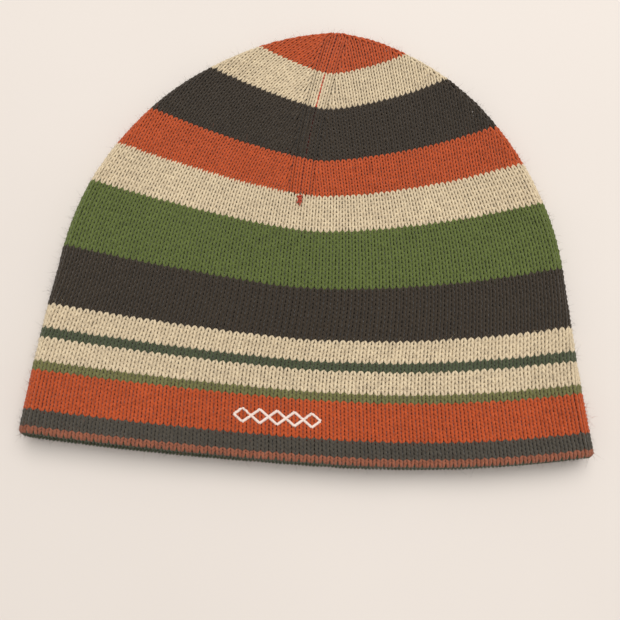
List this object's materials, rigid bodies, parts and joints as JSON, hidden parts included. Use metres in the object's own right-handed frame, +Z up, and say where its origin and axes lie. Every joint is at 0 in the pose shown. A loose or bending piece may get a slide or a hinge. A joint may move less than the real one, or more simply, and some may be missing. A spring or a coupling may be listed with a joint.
{
  "type": "knit beanie",
  "caption": "Striped knitted wool beanie lying flat, with side seams, crown darts, hem facing, inner labels and a small embroidered motif.",
  "frame": {"origin": "on the surface the hat lies on, at the centre of its bounding box", "axes": "+X to the wearer's left, which is the right of the front as it lies face up; +Y from the hem towards the crown; +Z up, out of the front panel"},
  "size_m": [0.245, 0.2219, 0.0187],
  "materials": {
    "rust": "matt brushed wool, rust",
    "charcoal": "matt brushed wool, green-grey charcoal",
    "orange": "matt brushed wool, burnt orange",
    "light_green": "matt brushed wool, light moss",
    "ecru": "matt brushed wool, melange ecru",
    "dark_green": "matt brushed wool, dark bottle green",
    "brown": "matt brushed wool, brown-black",
    "green": "matt brushed wool, leaf green",
    "red_thread": "twisted wool linking thread",
    "white_thread": "satin embroidery thread",
    "backing": "matt non-woven",
    "label": "smooth woven ribbon"
  },
  "bodies": {
    "hat": {"front_rust_edge": "rust", "front_charcoal_border": "charcoal", "front_lower_orange": "orange", "front_light_green_line": "light_green", "front_lower_ecru": "ecru", "front_dark_green_line": "dark_green", "front_middle_ecru": "ecru", "front_brown_band": "brown", "front_green_band": "green", "front_upper_ecru": "ecru", "front_upper_orange_left": "orange", "front_upper_orange_right": "orange", "front_charcoal_band_left": "brown", "front_charcoal_band_right": "brown", "front_crown_ecru_left": "ecru", "front_crown_ecru_right": "ecru", "front_crown_orange_left": "orange", "front_crown_orange_right": "orange", "back_rust_edge": "rust", "back_charcoal_border": "charcoal", "back_lower_orange": "orange", "back_light_green_line": "light_green", "back_lower_ecru": "ecru", "back_dark_green_line": "dark_green", "back_middle_ecru": "ecru", "back_brown_band": "brown", "back_green_band": "green", "back_upper_ecru": "ecru", "back_upper_orange_left": "orange", "back_upper_orange_right": "orange", "back_charcoal_band_left": "brown", "back_charcoal_band_right": "brown", "back_crown_ecru_left": "ecru", "back_crown_ecru_right": "ecru", "back_crown_orange_left": "orange", "back_crown_orange_right": "orange", "front_dart_thread": "red_thread", "front_dart_tack": "red_thread", "front_hem_facing": "dark_green", "front_hem_linking": "dark_green", "back_dart_thread": "red_thread", "back_dart_tack": "red_thread", "back_hem_facing": "dark_green", "back_hem_linking": "dark_green", "right_side_seam": "charcoal", "left_side_seam": "charcoal", "crown_knot": "red_thread", "embroidered_motif": "white_thread", "embroidery_backing": "backing", "main_label": "label", "main_label_stitches": "white_thread", "care_label_stitches": "white_thread"},
    "care_label": {"care_label": "label"}
  },
  "joints": [
    {"name": "care_label_swing", "type": "hinge", "parent": "hat", "child": "care_label", "pos_m": [-0.1111, -0.0584, 0.00295], "axis": [0, -1, 0], "range_deg": [0, 12]}
  ]
}
